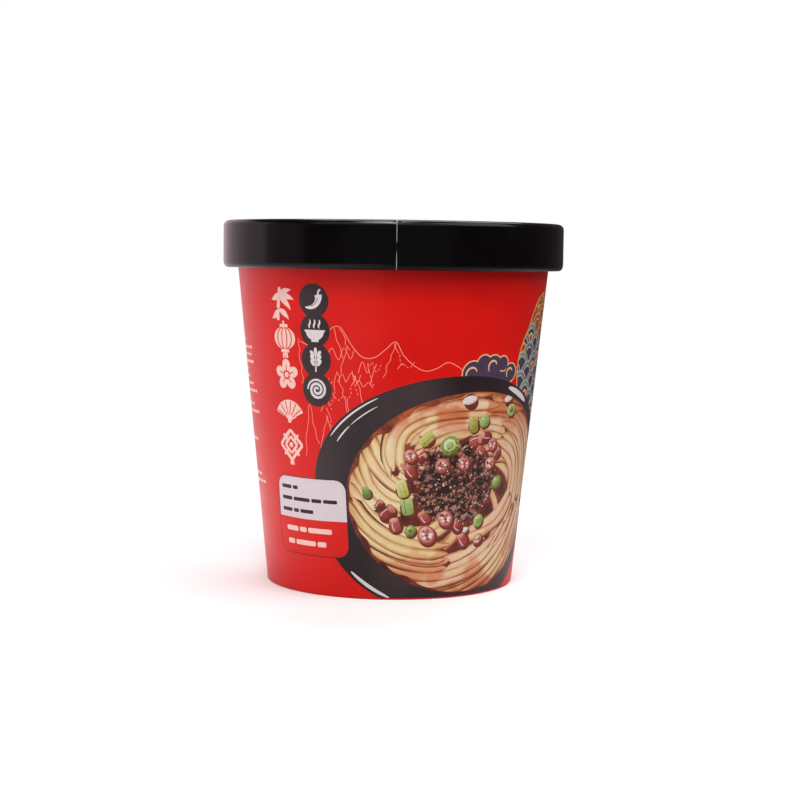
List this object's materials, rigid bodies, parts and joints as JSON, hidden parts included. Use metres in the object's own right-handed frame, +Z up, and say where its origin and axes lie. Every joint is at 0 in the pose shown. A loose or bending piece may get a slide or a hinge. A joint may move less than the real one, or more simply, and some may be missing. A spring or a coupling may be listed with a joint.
{
  "type": "instant noodle cup",
  "caption": "Shut tapered paper noodle cup with a rolled foot, a printed red wall and a pressed-on black board lid with a deep band.",
  "frame": {"origin": "middle of the foot ring, on the surface that the cup stands on", "axes": "+Z up along the cup's axis, -Y towards the front of the print, +X to the right of the front"},
  "size_m": [0.118, 0.118, 0.1246],
  "materials": {
    "printed_board": "satin varnished paperboard, printed red with dark, cream and green fields of colour",
    "lid_board": "satin black coated paperboard with a raw pale cut edge at its seam"
  },
  "bodies": {
    "root": {"cup": "printed_board", "lid": "lid_board"}
  },
  "joints": []
}
